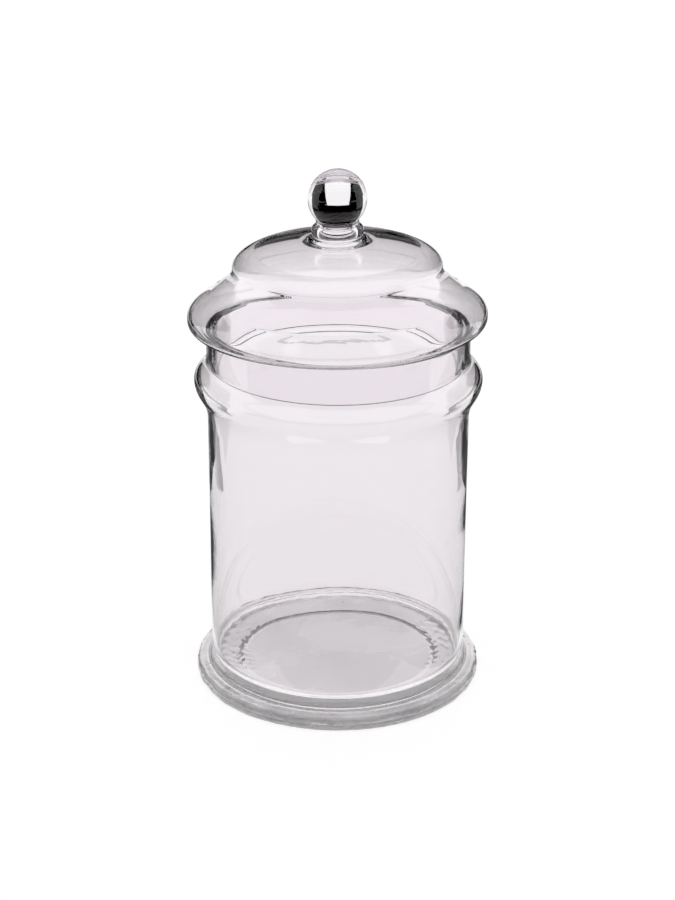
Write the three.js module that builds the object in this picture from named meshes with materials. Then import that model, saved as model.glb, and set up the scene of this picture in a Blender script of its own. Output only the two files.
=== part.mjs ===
// Specimen jar: a lidded cylinder of clear hand-blown glass, 300 mm tall.
// Millimetres, +Z up. The origin is on the jar's axis, in the plane the foot stands on.
//
// The jar is a blown cylinder with a rolled shoulder, on a flat disc foot.
// Its lid is a blown dome over a wide brim, with a plain ring under it that drops
// into the jar's neck, and a solid ball knob on a hollow stepped collar.
// Every piece is a body of revolution about the Z axis.

import * as THREE from "three";

// ---------------------------------------------------------------- driving dimensions

const SEGMENTS = 40;          // facets round the jar and the lid
const SMALL_SEGMENTS = 28;    // facets round the knob and its collar
const FUSED_GAP = 0.3;        // left between pieces that are melted together

const BODY_RADIUS = 73.4;     // outside of the cylinder, and of the neck above the roll
const BODY_WALL = 2.9;
const FOOT_RADIUS = 82.2;
const FOOT_TOP = 9.3;
const FLOOR_TOP = 13.2;       // the jar's inside floor
const FLOOR_FILLET = 8;
const JOIN_FILLET = 2.4;      // where the wall flares out onto the foot

const ROLL_RADIUS = 80.6;     // the round shoulder that stands out of the cylinder
const ROLL_START = 164.8;
const ROLL_MIDDLE = 181.2;
const ROLL_END = 192.2;
const MOUTH_TOP = 210.2;

const BRIM_RADIUS = 83.05;
const BRIM_LIP_LOW = 214.6;   // the lip is a thick band between these two heights
const BRIM_LIP_HIGH = 218.4;
const BRIM_WALL = 1.2;
const LID_WALL = 2.3;
const WAIST_RADIUS = 58;      // the crease between the brim and the dome
const WAIST_HEIGHT = 240.2;
const DOME_TOP = 261.2;
const PLUG_RADIUS = 69.35;    // 1.15 mm clear of the neck all round
const PLUG_WALL = 1.8;
const PLUG_BOTTOM = 190;

const COLLAR_FOOT_RADIUS = 17.6;
const COLLAR_STEP = 264.2;    // the groove between the collar's two rings
const COLLAR_RADIUS = 14.4;
const COLLAR_SHOULDER = 269.3;
const COLLAR_NECK_RADIUS = 11.9;
const COLLAR_BORE = 11.6;     // the collar is hollow, and open into the dome
const COLLAR_HOLLOW = 8.6;    // its hollow just under the ball
const KNOB_RADIUS = 16.3;
const TOTAL_HEIGHT = 300;

const BODY_INSIDE = BODY_RADIUS - BODY_WALL;
const PLUG_INSIDE = PLUG_RADIUS - PLUG_WALL;
const SEAT_TOP = MOUTH_TOP + FUSED_GAP;
const KNOB_CENTRE = TOTAL_HEIGHT - KNOB_RADIUS;

// ---------------------------------------------------------------- outline helpers

// A pen that draws an outline in the (radius, height) plane.
class Outline {
  constructor(r, z) {
    this.points = [new THREE.Vector2(r, z)];
  }

  get tip() {
    return this.points[this.points.length - 1];
  }

  line(r, z) {
    this.points.push(new THREE.Vector2(r, z));
    return this;
  }

  // A cubic curve to (r, z), bent by two handles.
  curve(r1, z1, r2, z2, r, z, steps = 7) {
    const bend = new THREE.CubicBezierCurve(
      this.tip,
      new THREE.Vector2(r1, z1),
      new THREE.Vector2(r2, z2),
      new THREE.Vector2(r, z),
    );
    this.points.push(...bend.getPoints(steps).slice(1));
    return this;
  }

  // A rounded corner: the curve leaves towards the corner and arrives from it.
  corner(cornerR, cornerZ, r, z, steps = 4) {
    const bend = new THREE.QuadraticBezierCurve(
      this.tip,
      new THREE.Vector2(cornerR, cornerZ),
      new THREE.Vector2(r, z),
    );
    this.points.push(...bend.getPoints(steps).slice(1));
    return this;
  }

  // Part of a circle centred on the axis, between two angles above the horizontal.
  arc(centreZ, radius, from, to, steps) {
    for (let i = 1; i <= steps; i += 1) {
      const angle = from + ((to - from) * i) / steps;
      this.line(radius * Math.cos(angle), centreZ + radius * Math.sin(angle));
    }
    return this;
  }

  close() {
    this.points.push(this.points[0].clone());
    return this;
  }
}

// Turns an outline about the Z axis, as glass is turned on the iron.
function turned(name, outline, glass, segments = SEGMENTS) {
  const shape = new THREE.LatheGeometry(outline.points, segments);
  shape.rotateX(Math.PI / 2);
  const mesh = new THREE.Mesh(shape, glass);
  mesh.name = name;
  return mesh;
}

function clearGlass(colour) {
  return new THREE.MeshStandardMaterial({
    color: colour,
    roughness: 0.05,
    metalness: 0,
    transparent: true,
    opacity: 0.35,
  });
}

// ---------------------------------------------------------------- jar

// A flat pressed disc. It stands on a ring, and is slightly hollow inside that ring.
function jarFoot() {
  const ringInside = 58;
  const ringOutside = 79.5;
  const hollow = 1.8;
  const outline = new Outline(0, hollow)
    .line(ringInside - 4, hollow)
    .corner(ringInside - 1, hollow, ringInside, 0)
    .line(ringOutside, 0)
    .corner(FOOT_RADIUS - 0.2, 0, FOOT_RADIUS, 3.4)
    .corner(FOOT_RADIUS, FOOT_TOP - 1.3, FOOT_RADIUS - 3, FOOT_TOP - 1)
    .line(BODY_RADIUS + JOIN_FILLET + 1, FOOT_TOP)
    .line(0, FOOT_TOP);
  return turned("jar_foot", outline, clearGlass(0xdedbe0));
}

// Cylinder, rolled shoulder and neck, blown in one wall of even thickness.
function jarBody() {
  const base = FOOT_TOP + FUSED_GAP;
  const lip = BODY_WALL / 2;
  const rollInside = ROLL_RADIUS - BODY_WALL;
  const outline = new Outline(0, base)
    .line(BODY_RADIUS + JOIN_FILLET, base)
    .corner(BODY_RADIUS, base + 0.3, BODY_RADIUS, base + 2 * JOIN_FILLET)
    .line(BODY_RADIUS, ROLL_START)
    .curve(BODY_RADIUS, ROLL_START + 6, ROLL_RADIUS, ROLL_MIDDLE - 6.6, ROLL_RADIUS, ROLL_MIDDLE)
    .curve(ROLL_RADIUS, ROLL_MIDDLE + 5, BODY_RADIUS, ROLL_END - 4, BODY_RADIUS, ROLL_END)
    .line(BODY_RADIUS, MOUTH_TOP - lip)
    .corner(BODY_RADIUS, MOUTH_TOP, BODY_RADIUS - lip, MOUTH_TOP, 3)
    .corner(BODY_INSIDE, MOUTH_TOP, BODY_INSIDE, MOUTH_TOP - lip, 3)
    .line(BODY_INSIDE, ROLL_END)
    .curve(BODY_INSIDE, ROLL_END - 4, rollInside, ROLL_MIDDLE + 5, rollInside, ROLL_MIDDLE)
    .curve(rollInside, ROLL_MIDDLE - 6.6, BODY_INSIDE, ROLL_START + 6, BODY_INSIDE, ROLL_START)
    .line(BODY_INSIDE, FLOOR_TOP + FLOOR_FILLET)
    .corner(BODY_INSIDE, FLOOR_TOP, BODY_INSIDE - FLOOR_FILLET, FLOOR_TOP, 5)
    .line(0, FLOOR_TOP);
  return turned("jar_body", outline, clearGlass(0xe6e3e8));
}

// ---------------------------------------------------------------- lid

// One blown wall: seat, brim, waist and dome. It is open below, over the plug ring,
// and open above into the hollow of the collar.
function lidDome() {
  const seatOutside = BODY_RADIUS - 0.4;
  const lipRound = BRIM_RADIUS - 2.2;
  const cavity = BRIM_RADIUS - BRIM_WALL;
  const innerWaist = WAIST_RADIUS - LID_WALL;
  const seatInside = SEAT_TOP + BRIM_WALL;
  const outline = new Outline(PLUG_INSIDE, SEAT_TOP)
    .line(seatOutside, SEAT_TOP)
    .curve(seatOutside + 2.4, SEAT_TOP + 0.2, lipRound - 3.8, BRIM_LIP_LOW - 1, lipRound, BRIM_LIP_LOW, 5)
    .corner(BRIM_RADIUS, BRIM_LIP_LOW + 0.5, BRIM_RADIUS, BRIM_LIP_LOW + 2.6, 3)
    .line(BRIM_RADIUS, BRIM_LIP_HIGH)
    .curve(BRIM_RADIUS, 223.4, 76.4, 225.3, 71, 229.4, 8)
    .line(WAIST_RADIUS + 4, WAIST_HEIGHT - 3.4)
    .corner(WAIST_RADIUS, WAIST_HEIGHT - 0.2, WAIST_RADIUS, WAIST_HEIGHT + 5.4)
    .curve(WAIST_RADIUS, 254.2, 37, DOME_TOP - 2.3, COLLAR_FOOT_RADIUS, DOME_TOP, 9)
    .line(COLLAR_BORE, DOME_TOP)
    .corner(COLLAR_BORE, DOME_TOP - 3.2, COLLAR_BORE + 4.6, DOME_TOP - 3.4, 3)
    .curve(36.6, DOME_TOP - 4.9, innerWaist, 252.4, innerWaist, WAIST_HEIGHT + 5.4, 9)
    .corner(innerWaist, WAIST_HEIGHT - 1.4, WAIST_RADIUS + 2.7, WAIST_HEIGHT - 5)
    .line(71 - BRIM_WALL * 0.63, 229.4 - BRIM_WALL * 0.78)
    .curve(75.6, 224.4, cavity, 222.9, cavity, BRIM_LIP_HIGH, 8)
    .line(cavity, BRIM_LIP_LOW + 2.6)
    .corner(cavity, BRIM_LIP_LOW + 1.4, lipRound - 0.2, BRIM_LIP_LOW + BRIM_WALL, 2)
    .curve(lipRound - 4, BRIM_LIP_LOW + 0.2, seatOutside + 2.2, seatInside + 0.2, seatOutside, seatInside, 5)
    .line(PLUG_INSIDE + 1.5, seatInside)
    .line(PLUG_INSIDE, SEAT_TOP + 0.6)
    .close();
  return turned("lid_dome", outline, clearGlass(0xe6e3e8));
}

// The plain ring that centres the lid in the jar's neck.
function lidPlugRing() {
  const top = SEAT_TOP - FUSED_GAP;
  const edge = PLUG_WALL / 2;
  const outline = new Outline(PLUG_INSIDE, top)
    .line(PLUG_INSIDE, PLUG_BOTTOM + edge)
    .corner(PLUG_INSIDE, PLUG_BOTTOM, PLUG_INSIDE + edge, PLUG_BOTTOM, 3)
    .corner(PLUG_RADIUS, PLUG_BOTTOM, PLUG_RADIUS, PLUG_BOTTOM + edge, 3)
    .line(PLUG_RADIUS, top)
    .close();
  return turned("lid_plug_ring", outline, clearGlass(0xe2dfe5));
}

// Two trails of glass: a flared one on the dome and a rounder one under the ball,
// with a short neck that cups the ball. It is hollow right up to the ball.
function knobCollar() {
  const base = DOME_TOP + FUSED_GAP;
  const cupRadius = KNOB_RADIUS + FUSED_GAP;
  const cupEdge = -Math.acos(COLLAR_NECK_RADIUS / cupRadius);
  const cupInside = -Math.acos(COLLAR_HOLLOW / cupRadius);
  const neckTop = KNOB_CENTRE + cupRadius * Math.sin(cupEdge);
  const outline = new Outline(COLLAR_BORE, base)
    .line(COLLAR_FOOT_RADIUS, base)
    .corner(COLLAR_FOOT_RADIUS - 1.2, base + 0.5, COLLAR_FOOT_RADIUS - 1.8, base + 1.4, 2)
    .corner(COLLAR_RADIUS - 0.4, COLLAR_STEP - 1, COLLAR_RADIUS - 0.5, COLLAR_STEP, 3)
    .corner(COLLAR_RADIUS, COLLAR_STEP + 0.6, COLLAR_RADIUS, COLLAR_STEP + 2, 2)
    .corner(COLLAR_RADIUS, COLLAR_SHOULDER - 0.6, COLLAR_NECK_RADIUS, COLLAR_SHOULDER)
    .line(COLLAR_NECK_RADIUS, neckTop)
    .arc(KNOB_CENTRE, cupRadius, cupEdge, cupInside, 3)
    .corner(COLLAR_HOLLOW, neckTop - 4, COLLAR_BORE, base)
    .close();
  return turned("knob_collar", outline, clearGlass(0xdcd9df), SMALL_SEGMENTS);
}

// A solid glass ball.
function knobBall() {
  const outline = new Outline(0, KNOB_CENTRE - KNOB_RADIUS)
    .arc(KNOB_CENTRE, KNOB_RADIUS, -Math.PI / 2, Math.PI / 2, 16);
  return turned("knob_ball", outline, clearGlass(0xd9d6dc), SMALL_SEGMENTS);
}

// ---------------------------------------------------------------- assembly

const jar = new THREE.Group();
jar.add(jarFoot(), jarBody());

const lid = new THREE.Group();
lid.add(lidDome(), lidPlugRing(), knobCollar(), knobBall());

const specimenJar = new THREE.Group();
specimenJar.add(jar, lid);

export default specimenJar;
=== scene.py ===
"""Specimen jar: clear blown glass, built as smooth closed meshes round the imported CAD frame.

Outlines are drawn in millimetres in the (radius, height) plane and turned about the Z axis.
The glass of one body is continuous: where two pieces are fused, both carry the same seam face,
and the seam lets light straight through.
"""

import math
import random

import bpy
import numpy as np
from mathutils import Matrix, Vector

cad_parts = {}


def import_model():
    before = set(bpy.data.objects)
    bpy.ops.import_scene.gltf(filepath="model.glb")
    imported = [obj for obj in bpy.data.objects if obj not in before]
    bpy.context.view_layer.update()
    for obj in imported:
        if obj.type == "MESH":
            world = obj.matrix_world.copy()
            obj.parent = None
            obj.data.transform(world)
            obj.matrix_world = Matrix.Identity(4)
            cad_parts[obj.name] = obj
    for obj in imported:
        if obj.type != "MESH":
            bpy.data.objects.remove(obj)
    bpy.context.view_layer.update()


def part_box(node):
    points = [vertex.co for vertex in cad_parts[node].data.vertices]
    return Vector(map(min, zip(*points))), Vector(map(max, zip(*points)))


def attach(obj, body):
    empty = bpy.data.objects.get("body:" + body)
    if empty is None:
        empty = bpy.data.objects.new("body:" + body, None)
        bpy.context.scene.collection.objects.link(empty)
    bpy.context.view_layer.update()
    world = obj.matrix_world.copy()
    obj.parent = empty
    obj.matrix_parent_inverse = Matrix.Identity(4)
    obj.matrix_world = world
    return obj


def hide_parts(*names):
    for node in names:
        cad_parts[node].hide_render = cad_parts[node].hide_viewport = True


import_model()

MM = 0.001
TURN = 2 * math.pi


# ------------------------------------------------------------------ sizes, in mm


def box_mm(node):
    """Lowest and highest corner of a CAD node, in millimetres."""
    low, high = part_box(node)
    return [c / MM for c in low], [c / MM for c in high]


FOOT_RADIUS, _, FOOT_TOP = box_mm("jar_foot")[1]
ROLL_RADIUS, _, MOUTH_TOP = box_mm("jar_body")[1]
dome_low, dome_high = box_mm("lid_dome")
BRIM_RADIUS, _, DOME_TOP = dome_high
SEAT = dome_low[2]
plug_low, plug_high = box_mm("lid_plug_ring")
PLUG_RADIUS = plug_high[0]
PLUG_BOTTOM = plug_low[2]
COLLAR_FOOT_RADIUS = box_mm("knob_collar")[1][0]
ball_low, ball_high = box_mm("knob_ball")
KNOB_RADIUS = (ball_high[2] - ball_low[2]) / 2
KNOB_CENTRE = (ball_high[2] + ball_low[2]) / 2

BODY_RADIUS = 73.4
BODY_WALL = 2.9
FLOOR_TOP = 13.2
FLOOR_FILLET = 8
JOIN_FILLET = 2.4
ROLL_START = 164.8
ROLL_MIDDLE = 181.2
ROLL_END = 192.2
ROLL_EASE = 7
BRIM_LIP_LOW = 214.6
BRIM_LIP_HIGH = 218.4
LID_WALL = 2.3
BRIM_WALL = 1.2
LIP_WALL = 1.7
WAIST_RADIUS = 58
WAIST_HEIGHT = 240.2
WAIST_FILLET = 3.4
BRIM_SHOULDER = (71, 229.4)
DOME_THICK = 47  # inside this radius the dome's wall keeps its full thickness
PLUG_WALL = 1.8
COLLAR_RADIUS = 14.4
COLLAR_STEP = 264.2
COLLAR_SHOULDER = 269.3
COLLAR_NECK_RADIUS = 11.9

BODY_INSIDE = BODY_RADIUS - BODY_WALL
PLUG_INSIDE = PLUG_RADIUS - PLUG_WALL
COLLAR_HOLLOW = 8.6  # the collar's hollow just under the ball
COLLAR_BORE = 11.6  # and where it opens into the dome
CUP_EDGE = -math.acos(COLLAR_NECK_RADIUS / KNOB_RADIUS)  # angles on the ball
HOLLOW_EDGE = -math.acos(COLLAR_HOLLOW / KNOB_RADIUS)


# ------------------------------------------------------------------ outlines

SEAM, WORN = 1, 2  # material slots other than the plain glass


class Outline:
    """A pen that draws a closed outline, and remembers which stretches are fused seams."""

    def __init__(self, r, z, step=1.0):
        self.points = [(r, z)]
        self.seams = []
        self.step = step

    def _add(self, points, seam):
        self.points += points
        self.seams += [seam] * len(points)
        return self

    def _count(self, length):
        return max(2, math.ceil(length / self.step))

    def line(self, r, z, seam=0):
        r0, z0 = self.points[-1]
        n = self._count(math.hypot(r - r0, z - z0))
        return self._add([(r0 + (r - r0) * i / n, z0 + (z - z0) * i / n) for i in range(1, n + 1)], seam)

    def curve(self, r1, z1, r2, z2, r, z):
        """A cubic curve to (r, z), bent by two handles."""
        p = [np.array(q, float) for q in (self.points[-1], (r1, z1), (r2, z2), (r, z))]
        n = self._count(sum(np.linalg.norm(b - a) for a, b in zip(p, p[1:])))
        made = []
        for i in range(1, n + 1):
            t = i / n
            s = 1 - t
            at = s**3 * p[0] + 3 * s * s * t * p[1] + 3 * s * t * t * p[2] + t**3 * p[3]
            made.append(tuple(at))
        return self._add(made, 0)

    def corner(self, corner_r, corner_z, r, z):
        """A rounded corner: the curve leaves towards the corner and arrives from it."""
        r0, z0 = self.points[-1]
        third = 2 / 3
        return self.curve(
            r0 + (corner_r - r0) * third,
            z0 + (corner_z - z0) * third,
            r + (corner_r - r) * third,
            z + (corner_z - z) * third,
            r,
            z,
        )

    def inside(self, first, last, wall_first, wall_last):
        """Goes back along the points from first to last, on their left, with the wall between."""
        made = []
        done = self.points
        for i in range(first, last - 1, -1):
            r0, z0 = done[i - 1]
            r1, z1 = done[i + 1]
            length = math.hypot(r1 - r0, z1 - z0)
            wall = wall_first + (wall_last - wall_first) * (first - i) / max(1, first - last)
            r, z = done[i]
            made.append((r - wall * (z1 - z0) / length, z + wall * (r1 - r0) / length))
        return self._add(made, 0)

    def arc(self, centre_z, radius, start, end, seam=0):
        """Part of a circle centred on the axis, between two angles above the horizontal."""
        n = self._count(abs(end - start) * radius)
        made = []
        for i in range(1, n + 1):
            angle = start + (end - start) * i / n
            made.append((radius * math.cos(angle), centre_z + radius * math.sin(angle)))
        return self._add(made, seam)


# ------------------------------------------------------------------ hand-blown unevenness


def swell(seed, size, round_waves, wave_height):
    """A smooth field of a few long waves round and up the glass, about size mm deep."""
    draw = random.Random(seed)
    waves = []
    for _ in range(7):
        waves.append(
            (
                draw.uniform(0.4, 1.0),
                draw.randint(1, round_waves),
                draw.uniform(0, TURN),
                TURN / draw.uniform(wave_height, 3 * wave_height),
                draw.uniform(0, TURN),
            )
        )
    scale = size / sum(w[0] for w in waves)

    def field(theta, z):
        return scale * sum(a * np.cos(n * theta + p) * np.cos(k * z + q) for a, n, p, k, q in waves)

    return field


def smooth_step(low, high, x):
    t = np.clip((x - low) / (high - low), 0, 1)
    return t * t * (3 - 2 * t)


outer_swell = swell(3, 0.3, 4, 80)
inner_swell = swell(8, 0.6, 5, 60)
foot_swell = swell(21, 0.4, 6, 30)
foot_grain = swell(34, 0.4, 110, 3)
foot_dents = swell(55, 0.7, 40, 7)
lid_outer_swell = swell(5, 0.3, 3, 50)

JAR_LEAN = 0.5  # how far the neck stands off the foot's axis, towards +X
LID_TILT = 0.013  # the brim and dome run out of level with the seat
MOUTH_TILT = 0.019  # the mouth was cut out of level, higher at the front
STEADY = 0.12  # the part of the wall's swelling that is left in the roll and the neck
PUDDLE = 0.5  # low rings left where the floor's glass settled
PUDDLE_PITCH = 11
CREASE = 0.2  # puckered glass where the floor meets the wall, at the two sides
CREASES_ROUND = 46


def creased(r, theta):
    """Fine puckers in the floor's edge, only at the two sides."""
    at_sides = smooth_step(0.80, 0.93, abs(np.cos(theta)))
    at_edge = smooth_step(50, 56, r) * (1 - smooth_step(66, 70, r))
    round_waves = np.sin(CREASES_ROUND * theta + 2.2 * np.sin(0.7 * r) + 3 * np.cos(3 * theta))
    return CREASE * at_sides * at_edge * (round_waves + 0.6 * np.sin(0.9 * r + 9 * theta))


def jar_uneven(r, z, theta):
    """Moves for the jar: the wall swells, most on its inside, and the foot's edge is rough."""
    inside = 1 - smooth_step(BODY_INSIDE + 0.2, BODY_RADIUS - 0.2, r) * np.ones_like(theta)
    inside *= smooth_step(20, 60, r)
    below_roll = 1 - smooth_step(ROLL_START - 45, ROLL_START - 5, z)
    share = STEADY + (1 - STEADY) * below_roll
    above_foot = smooth_step(FOOT_TOP, FOOT_TOP + 20, z)
    above_floor = smooth_step(FLOOR_TOP, 40, z)
    radial = outer_swell(theta, z) * above_foot * share
    radial = radial + inside * inner_swell(theta, z) * above_floor * share
    rim = smooth_step(76, 80, r) * smooth_step(0, 1.5, z) * (z < FOOT_TOP + 1)
    radial = radial + rim * (foot_swell(theta, z) + foot_grain(theta, z) + foot_dents(theta, z))
    floor_face = smooth_step(FLOOR_TOP - 1, FLOOR_TOP, z) * (z < FLOOR_TOP + 1)
    puddle = np.cos(r / PUDDLE_PITCH) + 0.5 * np.cos(2 * theta + 1) * smooth_step(5, 30, r)
    rise = PUDDLE * puddle * (1 - smooth_step(50, 66, r)) * floor_face
    above_seam = smooth_step(FLOOR_TOP - 0.5, FLOOR_TOP, z) * (z < FLOOR_TOP + 4)
    rise = rise + creased(r, theta) * above_seam
    lean = JAR_LEAN * smooth_step(FOOT_TOP, ROLL_END, z)
    cut = -MOUTH_TILT * r * np.sin(theta) * smooth_step(ROLL_END, MOUTH_TOP - 1, z)
    return radial, lean, rise + cut


def lid_uneven(r, z, theta):
    """Moves for the lid: the blown part swells, and stands a little out of level on its seat."""
    blown = smooth_step(SEAT + 2, BRIM_LIP_HIGH, z) * (1 - smooth_step(DOME_TOP - 9, DOME_TOP - 5, z))
    radial = lid_outer_swell(theta, z) * blown
    tilt = LID_TILT * r * np.cos(theta) * smooth_step(SEAT + 0.2, SEAT + 5, z)
    seated = smooth_step(PLUG_BOTTOM, SEAT, z) * (1 - smooth_step(SEAT + 0.2, SEAT + 5, z))
    return radial, 0 * theta, tilt - MOUTH_TILT * r * np.sin(theta) * seated


# ------------------------------------------------------------------ mesh making


def turned(name, outline, uneven, segments):
    """Turns an outline about the Z axis. Points on the axis become one vertex each."""
    theta = np.arange(segments) * TURN / segments
    points = outline.points
    closed = math.dist(points[0], points[-1]) < 1e-6
    if closed:
        points = points[:-1]
    vertices, rings = [], []
    for r, z in points:
        on_axis = r < 1e-6
        turn = theta[:1] if on_axis else theta
        radial, lean, rise = uneven(r, z, turn)
        reach = 0 if on_axis else r + radial
        ring = np.stack(
            [reach * np.cos(turn) + lean, reach * np.sin(turn) + 0 * turn, z + rise + 0 * turn], axis=1
        )
        rings.append((len(vertices), len(turn)))
        vertices += [tuple(v * MM) for v in ring]
    faces, materials = [], []
    pairs = list(zip(range(len(points)), range(1, len(points)), outline.seams))
    if closed:
        pairs.append((len(points) - 1, 0, outline.seams[-1]))
    for a, b, seam in pairs:
        (start_a, n_a), (start_b, n_b) = rings[a], rings[b]
        if n_a == n_b == 1:
            continue
        for i in range(segments):
            j = (i + 1) % segments
            if n_a == 1:
                face = (start_a, start_b + j, start_b + i)
            elif n_b == 1:
                face = (start_a + i, start_a + j, start_b)
            else:
                face = (start_a + i, start_a + j, start_b + j, start_b + i)
            faces.append(face)
            materials.append(int(seam))
    return vertices, faces, materials


def bubble(centre, sizes, turn):
    """A seed in the glass: a small stretched air bubble, facing inwards because it is hollow."""
    steps, sides = 6, 10
    vertices = [(0, 0, -1)]
    for i in range(1, steps):
        angle = -math.pi / 2 + math.pi * i / steps
        for j in range(sides):
            around = TURN * j / sides
            flat = math.cos(angle)
            vertices.append((flat * math.cos(around), flat * math.sin(around), math.sin(angle)))
    vertices.append((0, 0, 1))
    faces = []
    for j in range(sides):
        k = (j + 1) % sides
        faces.append((0, 1 + j, 1 + k))
        for i in range(steps - 2):
            a, b = 1 + i * sides, 1 + (i + 1) * sides
            faces.append((a + j, b + j, b + k, a + k))
        last = 1 + (steps - 2) * sides
        faces.append((last + j, len(vertices) - 1, last + k))
    c, s = math.cos(turn), math.sin(turn)
    placed = []
    for x, y, z in vertices:
        x, y, z = x * sizes[0], y * sizes[1], z * sizes[2]
        at = (centre[0] + c * x - s * y, centre[1] + s * x + c * y, centre[2] + z)
        placed.append(tuple(MM * v for v in at))
    return placed, faces


def seeds(seed, count, r_range, z_range, largest):
    """Bubbles drawn out round the axis, at repeatable places."""
    draw = random.Random(seed)
    made = []
    for _ in range(count):
        angle = draw.uniform(0, TURN)
        r = draw.uniform(*r_range)
        z = draw.uniform(*z_range)
        size = largest * draw.uniform(0.25, 1) ** 2
        sizes = (size * 0.8, size * draw.uniform(1, 2.2), size * 0.7)
        made.append(bubble((r * math.cos(angle), r * math.sin(angle), z), sizes, angle))
    return made


def piece(name, outline, uneven, materials, body, segments, bubbles=()):
    """Builds one closed glass piece and ties it to the frame."""
    vertices, faces, face_slots = turned(name, outline, uneven, segments)
    for more, bubble_faces in bubbles:
        base = len(vertices)
        vertices += more
        faces += [tuple(base + i for i in f) for f in bubble_faces]
        face_slots += [0] * len(bubble_faces)
    mesh = bpy.data.meshes.new(name)
    mesh.from_pydata(vertices, [], faces)
    for m in materials:
        mesh.materials.append(m)
    mesh.polygons.foreach_set("material_index", face_slots)
    mesh.polygons.foreach_set("use_smooth", [True] * len(faces))
    mesh.update()
    mesh.validate()
    obj = bpy.data.objects.new(name, mesh)
    bpy.context.scene.collection.objects.link(obj)
    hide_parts(name)
    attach(obj, body)
    return obj


# ------------------------------------------------------------------ materials


def node(tree, kind, **inputs):
    made = tree.nodes.new(kind)
    for key, value in inputs.items():
        made.inputs[key.replace("_", " ")].default_value = value
    return made


GLASS_IOR = 1.5


def glass(name, tint, ripple_size, ripple_depth, smooth=0.0, dull=0.02):
    """Clear glass with faint ripples and a trace of surface haze."""
    material = bpy.data.materials.new(name)
    material.use_nodes = True
    tree = material.node_tree
    shader = tree.nodes["Principled BSDF"]
    shader.inputs["Base Color"].default_value = (*tint, 1)
    shader.inputs["Transmission Weight"].default_value = 1
    shader.inputs["IOR"].default_value = GLASS_IOR
    place = tree.nodes.new("ShaderNodeTexCoord")
    haze = node(tree, "ShaderNodeTexNoise", Scale=14.0, Detail=3.0, Roughness=0.6)
    haze_range = node(tree, "ShaderNodeMapRange", From_Min=0.45, From_Max=0.75, To_Min=smooth, To_Max=dull)
    tree.links.new(place.outputs["Object"], haze.inputs["Vector"])
    tree.links.new(haze.outputs["Fac"], haze_range.inputs["Value"])
    tree.links.new(haze_range.outputs["Result"], shader.inputs["Roughness"])
    stretch = tree.nodes.new("ShaderNodeMapping")
    stretch.inputs["Scale"].default_value = (1, 1, 2.4)
    ripple = node(tree, "ShaderNodeTexNoise", Scale=1 / (ripple_size * MM), Detail=2.0, Roughness=0.5)
    bump = node(tree, "ShaderNodeBump", Strength=1.0, Distance=ripple_depth * MM)
    tree.links.new(place.outputs["Object"], stretch.inputs["Vector"])
    tree.links.new(stretch.outputs["Vector"], ripple.inputs["Vector"])
    tree.links.new(ripple.outputs["Fac"], bump.inputs["Height"])
    tree.links.new(bump.outputs["Normal"], shader.inputs["Normal"])
    return material


def fused_seam():
    """The face where two gathers of glass are melted together: nothing shows there."""
    material = bpy.data.materials.new("fused_seam")
    material.use_nodes = True
    shader = material.node_tree.nodes["Principled BSDF"]
    shader.inputs["Alpha"].default_value = 0
    shader.inputs["Specular IOR Level"].default_value = 0
    return material


BODY_TINT = (0.927, 0.905, 0.923)
FOOT_TINT = (0.99, 0.97, 0.986)
LID_TINT = (0.95, 0.928, 0.946)
seam = fused_seam()
wall_glass = glass("wall_glass", BODY_TINT, 26, 0.03)
foot_glass = glass("foot_glass", FOOT_TINT, 9, 0.015)
worn_glass = glass("worn_glass", FOOT_TINT, 5, 0.05, 0.24, 0.48)
lid_glass = glass("lid_glass", LID_TINT, 24, 0.02)
plug_glass = glass("plug_glass", LID_TINT, 24, 0.02)
collar_glass = glass("collar_glass", LID_TINT, 6, 0.01)
ball_glass = glass("ball_glass", LID_TINT, 12, 0.005)


# ------------------------------------------------------------------ glass pieces


def make_foot():
    ring_inside, ring_outside, hollow = 58, 79.5, 1.8
    parting = 4.4
    outline = (
        Outline(0, hollow, 0.8)
        .line(ring_inside - 4, hollow, seam=WORN)
        .corner(ring_inside - 1, hollow, ring_inside, 0)
        .line(ring_outside, 0, seam=WORN)
        .corner(FOOT_RADIUS - 0.2, 0, FOOT_RADIUS, parting - 0.9)
        .corner(FOOT_RADIUS - 0.5, parting - 0.2, FOOT_RADIUS - 0.4, parting)
        .corner(FOOT_RADIUS, parting + 0.4, FOOT_RADIUS - 0.1, parting + 1)
        .corner(FOOT_RADIUS - 0.2, FOOT_TOP - 1.2, FOOT_RADIUS - 3, FOOT_TOP - 1)
        .line(BODY_RADIUS + JOIN_FILLET + 1, FOOT_TOP - 0.1)
        .line(BODY_RADIUS + JOIN_FILLET, FOOT_TOP)
        .line(0, FOOT_TOP, seam=SEAM)
    )
    bubbles = seeds(4, 60, (62, 79), (2.2, 7), 0.7) + seeds(9, 16, (10, 60), (3.5, 8), 0.5)
    glasses = [foot_glass, seam, worn_glass]
    return piece("jar_foot", outline, jar_uneven, glasses, "jar", 512, bubbles)


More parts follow.
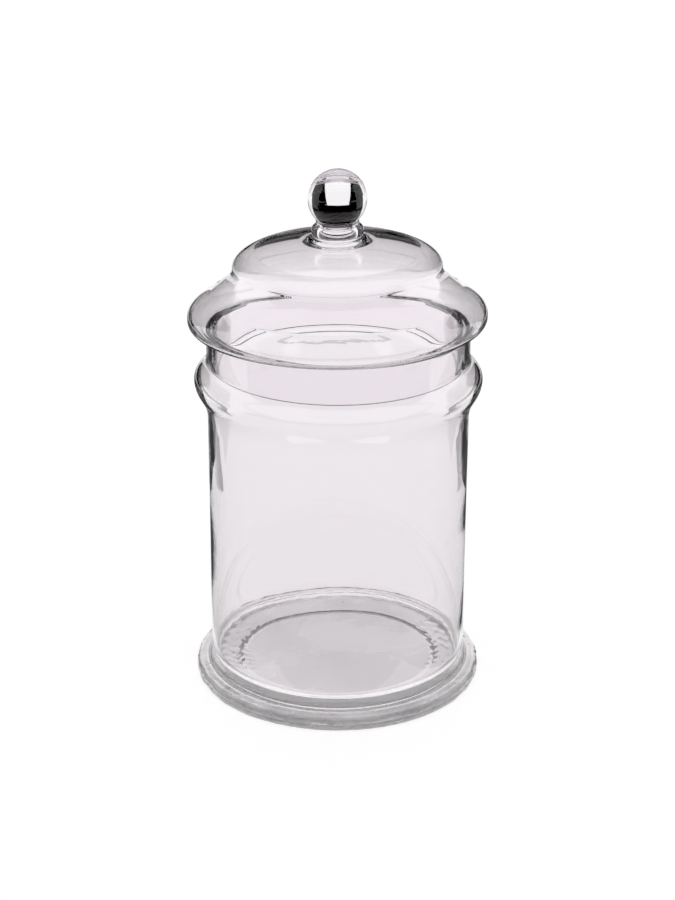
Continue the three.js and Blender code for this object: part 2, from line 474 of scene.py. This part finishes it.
def make_body():
    lip = BODY_WALL / 2
    outline = Outline(0, FOOT_TOP).line(BODY_RADIUS + JOIN_FILLET, FOOT_TOP, seam=SEAM)
    outline.corner(BODY_RADIUS, FOOT_TOP + 0.3, BODY_RADIUS, FOOT_TOP + 2 * JOIN_FILLET)
    outline.line(BODY_RADIUS, FLOOR_TOP + FLOOR_FILLET)
    wall_start = len(outline.points) - 1
    outline.line(BODY_RADIUS, ROLL_START - ROLL_EASE)
    outline.curve(BODY_RADIUS, ROLL_START + 6.6, ROLL_RADIUS, ROLL_MIDDLE - 7.6, ROLL_RADIUS, ROLL_MIDDLE)
    outline.curve(ROLL_RADIUS, ROLL_MIDDLE + 5.6, BODY_RADIUS, ROLL_END - 5, BODY_RADIUS, ROLL_END + 1)
    outline.line(BODY_RADIUS, MOUTH_TOP - lip)
    wall_end = len(outline.points) - 1
    outline.step = 0.3
    outline.corner(BODY_RADIUS, MOUTH_TOP, BODY_RADIUS - lip, MOUTH_TOP)
    outline.corner(BODY_INSIDE, MOUTH_TOP, BODY_INSIDE, MOUTH_TOP - lip)
    outline.step = 1.0
    outline.inside(wall_end - 1, wall_start, BODY_WALL, BODY_WALL)
    outline.corner(BODY_INSIDE, FLOOR_TOP, BODY_INSIDE - FLOOR_FILLET, FLOOR_TOP)
    outline.line(0, FLOOR_TOP)
    middle = BODY_RADIUS - BODY_WALL / 2
    bubbles = seeds(17, 12, (middle - 0.5, middle + 0.5), (20, 155), 0.4)
    bubbles += seeds(18, 12, (15, 66), (FOOT_TOP + 1, FLOOR_TOP - 1), 0.5)
    return piece("jar_body", outline, jar_uneven, [wall_glass, seam], "jar", 512, bubbles)


def make_dome():
    seat_outside = BODY_RADIUS + 0.2
    outline = Outline(PLUG_INSIDE, SEAT, 0.8).line(PLUG_RADIUS, SEAT, seam=SEAM).line(seat_outside, SEAT)
    under = len(outline.points) - 1
    lip_round = BRIM_RADIUS - 2.2
    outline.curve(seat_outside + 2, SEAT + 0.2, lip_round - 3.8, BRIM_LIP_LOW - 1, lip_round, BRIM_LIP_LOW)
    outline.step = 0.4
    outline.corner(BRIM_RADIUS, BRIM_LIP_LOW + 0.5, BRIM_RADIUS, BRIM_LIP_LOW + 2.6)
    lip = len(outline.points) - 1
    outline.line(BRIM_RADIUS, BRIM_LIP_HIGH)
    outline.curve(BRIM_RADIUS, 223.4, 76.4, 225.3, *BRIM_SHOULDER)
    shoulder = len(outline.points) - 1
    outline.step = 0.8
    outline.line(WAIST_RADIUS + WAIST_FILLET + 0.6, WAIST_HEIGHT - WAIST_FILLET)
    outline.corner(WAIST_RADIUS, WAIST_HEIGHT - 0.2, WAIST_RADIUS - 0.1, WAIST_HEIGHT + WAIST_FILLET + 2)
    waist = len(outline.points) - 1
    outline.curve(WAIST_RADIUS - 0.1, 254.2, 37, DOME_TOP - 2.3, COLLAR_FOOT_RADIUS + 2.8, DOME_TOP - 0.6)
    dome_end = len(outline.points) - 2
    outline.step = 0.4
    outline.corner(COLLAR_FOOT_RADIUS + 1, DOME_TOP - 0.4, COLLAR_FOOT_RADIUS, DOME_TOP)
    outline.line(COLLAR_BORE, DOME_TOP, seam=SEAM)
    outline.corner(COLLAR_BORE, DOME_TOP - 3.2, COLLAR_BORE + 4.6, DOME_TOP - 3.4)
    outline.step = 0.8
    thick = next(i for i in range(waist, dome_end) if outline.points[i][0] < DOME_THICK)
    outline.inside(dome_end, thick + 1, LID_WALL + 0.8, LID_WALL + 0.9)
    outline.inside(thick, waist + 1, LID_WALL + 0.9, LID_WALL - 0.5)
    outline.inside(waist, shoulder + 1, LID_WALL - 0.5, BRIM_WALL)
    outline.inside(shoulder, lip, BRIM_WALL, BRIM_WALL)
    outline.inside(lip - 1, under, LIP_WALL, BRIM_WALL)
    outline.line(PLUG_INSIDE + 1.5, SEAT + BRIM_WALL)
    outline.line(PLUG_INSIDE, SEAT + BRIM_WALL / 2).line(PLUG_INSIDE, SEAT)
    return piece("lid_dome", outline, lid_uneven, [lid_glass, seam], "lid", 384)


def make_plug_ring():
    edge = PLUG_WALL / 2
    outline = Outline(PLUG_INSIDE, SEAT, 0.8).line(PLUG_INSIDE, PLUG_BOTTOM + edge)
    outline.step = 0.3
    outline.corner(PLUG_INSIDE, PLUG_BOTTOM, PLUG_INSIDE + edge, PLUG_BOTTOM)
    outline.corner(PLUG_RADIUS, PLUG_BOTTOM, PLUG_RADIUS, PLUG_BOTTOM + edge)
    outline.step = 0.8
    outline.line(PLUG_RADIUS, SEAT).line(PLUG_INSIDE, SEAT, seam=SEAM)
    return piece("lid_plug_ring", outline, lid_uneven, [plug_glass, seam], "lid", 384)


def make_collar():
    neck_top = KNOB_CENTRE + KNOB_RADIUS * math.sin(CUP_EDGE)
    outline = Outline(COLLAR_BORE, DOME_TOP, 0.4).line(COLLAR_FOOT_RADIUS, DOME_TOP, seam=SEAM)
    outline.corner(COLLAR_FOOT_RADIUS - 1.2, DOME_TOP + 0.5, COLLAR_FOOT_RADIUS - 1.8, DOME_TOP + 1.4)
    outline.corner(COLLAR_RADIUS - 0.4, COLLAR_STEP - 1, COLLAR_RADIUS - 0.5, COLLAR_STEP)
    outline.corner(COLLAR_RADIUS, COLLAR_STEP + 0.6, COLLAR_RADIUS, COLLAR_STEP + 2)
    outline.corner(COLLAR_RADIUS, COLLAR_SHOULDER - 0.6, COLLAR_NECK_RADIUS, COLLAR_SHOULDER)
    outline.line(COLLAR_NECK_RADIUS, neck_top)
    outline.arc(KNOB_CENTRE, KNOB_RADIUS, CUP_EDGE, HOLLOW_EDGE, seam=SEAM)
    outline.corner(COLLAR_HOLLOW, neck_top - 4, COLLAR_BORE, DOME_TOP)
    return piece("knob_collar", outline, lid_uneven, [collar_glass, seam], "lid", 192)


def make_ball():
    outline = Outline(0, KNOB_CENTRE - KNOB_RADIUS, 0.4)
    outline.arc(KNOB_CENTRE, KNOB_RADIUS, -math.pi / 2, HOLLOW_EDGE)
    outline.arc(KNOB_CENTRE, KNOB_RADIUS, HOLLOW_EDGE, CUP_EDGE, seam=SEAM)
    outline.arc(KNOB_CENTRE, KNOB_RADIUS, CUP_EDGE, math.pi / 2)
    return piece("knob_ball", outline, lid_uneven, [ball_glass, seam], "lid", 192)


for make in (make_foot, make_body, make_dome, make_plug_ring, make_collar, make_ball):
    make()


# ------------------------------------------------------------------ camera

CAMERA_DISTANCE = 1.1708
CAMERA_HEIGHT = 0.6181
CAMERA_PITCH = math.radians(22.37)
CAMERA_LENS = 89.24

camera_data = bpy.data.cameras.new("camera")
camera_data.lens = CAMERA_LENS
camera_data.sensor_width = 36
camera_data.clip_start = 0.05
camera_data.clip_end = 60
camera = bpy.data.objects.new("camera", camera_data)
bpy.context.scene.collection.objects.link(camera)
camera.location = (0, -CAMERA_DISTANCE, CAMERA_HEIGHT)
camera.rotation_euler = (math.pi / 2 - CAMERA_PITCH, 0, 0)
bpy.context.scene.camera = camera


# ------------------------------------------------------------------ studio


def emitter(name, strength):
    """A card's own light: white, as bright as strength says."""
    material = bpy.data.materials.new(name)
    material.use_nodes = True
    tree = material.node_tree
    tree.nodes.clear()
    out = tree.nodes.new("ShaderNodeOutputMaterial")
    light = node(tree, "ShaderNodeEmission", Strength=strength)
    light.inputs["Color"].default_value = (1, 1, 1, 1)
    tree.links.new(light.outputs["Emission"], out.inputs["Surface"])
    return material


def card(name, corners, material, parent, through=True, mirrored=True):
    """A flat studio card that only shows in the glass, as flags just out of shot do."""
    mesh = bpy.data.meshes.new(name)
    mesh.from_pydata(corners, [], [tuple(range(len(corners)))])
    mesh.materials.append(material)
    obj = bpy.data.objects.new(name, mesh)
    bpy.context.scene.collection.objects.link(obj)
    obj.parent = parent
    obj.visible_camera = False
    obj.visible_diffuse = False
    obj.visible_shadow = False
    obj.visible_transmission = through
    obj.visible_glossy = mirrored
    return obj


def turntable():
    """The studio turns with the camera, as if the jar stood on a turntable."""
    hub = bpy.data.objects.new("studio", None)
    bpy.context.scene.collection.objects.link(hub)
    follow = hub.constraints.new("LOCKED_TRACK")
    follow.target = camera
    follow.track_axis = "TRACK_NEGATIVE_Y"
    follow.lock_axis = "LOCK_Z"
    return hub


def floor():
    half = FLOOR_HALF
    mesh = bpy.data.meshes.new("floor")
    corners = [(-half, -half, 0), (half, -half, 0), (half, half, 0), (-half, half, 0)]
    mesh.from_pydata(corners, [], [(0, 1, 2, 3)])
    obj = bpy.data.objects.new("floor", mesh)
    bpy.context.scene.collection.objects.link(obj)
    material = bpy.data.materials.new("pale_floor")
    material.use_nodes = True
    shader = material.node_tree.nodes["Principled BSDF"]
    shader.inputs["Base Color"].default_value = (FLOOR_WHITE, FLOOR_WHITE, FLOOR_WHITE, 1)
    shader.inputs["Roughness"].default_value = 1
    shader.inputs["Specular IOR Level"].default_value = 0
    shader.inputs["Emission Color"].default_value = (1, 1, 1, 1)
    shader.inputs["Emission Strength"].default_value = FLOOR_GLOW
    mesh.materials.append(material)
    obj.location.z = -FLOOR_GAP
    return obj


def world():
    """White room for the camera and for the floor; dark studio for what the glass bends and mirrors."""
    made = bpy.data.worlds.new("studio_world")
    bpy.context.scene.world = made
    made.use_nodes = True
    made.cycles.sampling_method = "NONE"
    tree = made.node_tree
    background = tree.nodes["Background"]
    background.inputs["Color"].default_value = (1, 1, 1, 1)
    path = tree.nodes.new("ShaderNodeLightPath")
    lit = node(tree, "ShaderNodeMath")
    lit.operation = "MINIMUM"
    lit.inputs[1].default_value = 1
    scaled = node(tree, "ShaderNodeMath")
    scaled.operation = "MULTIPLY"
    scaled.inputs[1].default_value = WORLD_LIGHT
    either = node(tree, "ShaderNodeMath")
    either.operation = "MAXIMUM"
    tree.links.new(path.outputs["Diffuse Depth"], lit.inputs[0])
    tree.links.new(lit.outputs["Value"], scaled.inputs[0])
    tree.links.new(scaled.outputs["Value"], either.inputs[0])
    tree.links.new(path.outputs["Is Camera Ray"], either.inputs[1])
    tree.links.new(either.outputs["Value"], background.inputs["Strength"])


FLOOR_WHITE = 0.8
FLOOR_GLOW = 0.7
FLOOR_HALF = 20
FLOOR_GAP = 0.0002  # keeps the floor just under the foot
WORLD_LIGHT = (1.03 - FLOOR_GLOW) / FLOOR_WHITE

world()
floor()
hub = turntable()
black = emitter("black_card", 0)
white = emitter("white_card", 1)
grey = emitter("grey_join", 0.72)
dim = emitter("dim_card", 0.12)
box_white = emitter("softbox", 1.1)


def lying(corners):
    """The corners of a card that lies just above the floor."""
    height = 0.0006
    return [(x, y, height) for x, y in corners]


def oblong(half_wide, low, high, z):
    """The corners of an oblong card, centred left to right."""
    return [(-half_wide, low, z), (half_wide, low, z), (half_wide, high, z), (-half_wide, high, z)]


# Black aprons beside the white strip that the jar stands on. The strip widens away from the camera.
APRON_NEAR, APRON_FAR = 0.245, 2.4
GAP_NEAR, GAP_FAR = 0.12, 0.60
GAP_SHIFT = 0.04  # the far end of the strip stands off to the left
APRON_WIDE, APRON_FAR_WIDE = 0.26, 3.0
# Dim cards that only the outside of the glass mirrors.
EDGE_NEAR, EDGE_FAR = -0.1, 0.9
EDGE_INNER_NEAR, EDGE_INNER_FAR = 0.095, 0.11
EDGE_OUTER_NEAR, EDGE_OUTER_FAR = 0.55, 0.75
# Softboxes standing at both sides.
SOFTBOX_BACK, SOFTBOX_FRONT = (0.75, 0.70), (1.05, -0.25)
SOFTBOX_TOP = 1.1
for side, hand in ((-1, "left"), (1, "right")):
    apron = lying(
        [
            (side * GAP_NEAR, APRON_NEAR),
            (side * APRON_WIDE, APRON_NEAR),
            (side * APRON_FAR_WIDE, APRON_FAR),
            (side * GAP_FAR - GAP_SHIFT, APRON_FAR),
        ]
    )
    card(f"apron_{hand}", apron, black, hub, mirrored=False)
    edge = lying(
        [
            (side * EDGE_INNER_NEAR, EDGE_NEAR),
            (side * EDGE_OUTER_NEAR, EDGE_NEAR),
            (side * EDGE_OUTER_FAR, EDGE_FAR),
            (side * EDGE_INNER_FAR, EDGE_FAR),
        ]
    )
    card(f"edge_{hand}", edge, dim, hub, through=False)
    (back_x, back_y), (front_x, front_y) = SOFTBOX_BACK, SOFTBOX_FRONT
    softbox = [
        (side * back_x, back_y, 0.0),
        (side * front_x, front_y, 0.0),
        (side * front_x, front_y, SOFTBOX_TOP),
        (side * back_x, back_y, SOFTBOX_TOP),
    ]
    card(f"softbox_{hand}", softbox, box_white, hub)

card("front_apron", lying([(-3, -3), (3, -3), (3, -0.1), (-3, -0.1)]), black, hub, through=False)

# Cards that hang from the camera: a black flag over the view, and a white backdrop behind it.
FLAG_DEPTH, BACK_DEPTH = 3.1, 3.2
FLAG_LEFT, FLAG_RIGHT, FLAG_TOP = 0.64, 0.66, 3.4
FLAG_HALF = 4
flag = [
    (-FLAG_HALF, FLAG_LEFT, -FLAG_DEPTH),
    (FLAG_HALF, FLAG_RIGHT, -FLAG_DEPTH),
    (FLAG_HALF, FLAG_TOP, -FLAG_DEPTH),
    (-FLAG_HALF, FLAG_TOP, -FLAG_DEPTH),
]
card("top_flag", flag, black, camera)

OVERHEAD_HALF, OVERHEAD_FRONT, OVERHEAD_BACK, OVERHEAD_HEIGHT = 1.6, -1.7, 1.39, 1.9
card("overhead", oblong(OVERHEAD_HALF, OVERHEAD_FRONT, OVERHEAD_BACK, OVERHEAD_HEIGHT), white, hub)

JOIN_NEAR, JOIN_FAR = 0.551, 0.554
join = lying([(-3, JOIN_NEAR), (3, JOIN_NEAR), (3, JOIN_FAR), (-3, JOIN_FAR)])
card("far_join", join, grey, hub)

BACKDROP_HALF, BACKDROP_BOTTOM = 0.62, -1.6
card("backdrop", oblong(BACKDROP_HALF, BACKDROP_BOTTOM, FLAG_RIGHT, -BACK_DEPTH), white, camera)

GLASS_BOUNCES = 28  # enough for both walls, the lid, the ring and the foot

scene = bpy.context.scene
scene.view_settings.view_transform = "Standard"
scene.cycles.max_bounces = GLASS_BOUNCES
scene.cycles.transmission_bounces = GLASS_BOUNCES
scene.cycles.glossy_bounces = 8
scene.cycles.transparent_max_bounces = 24
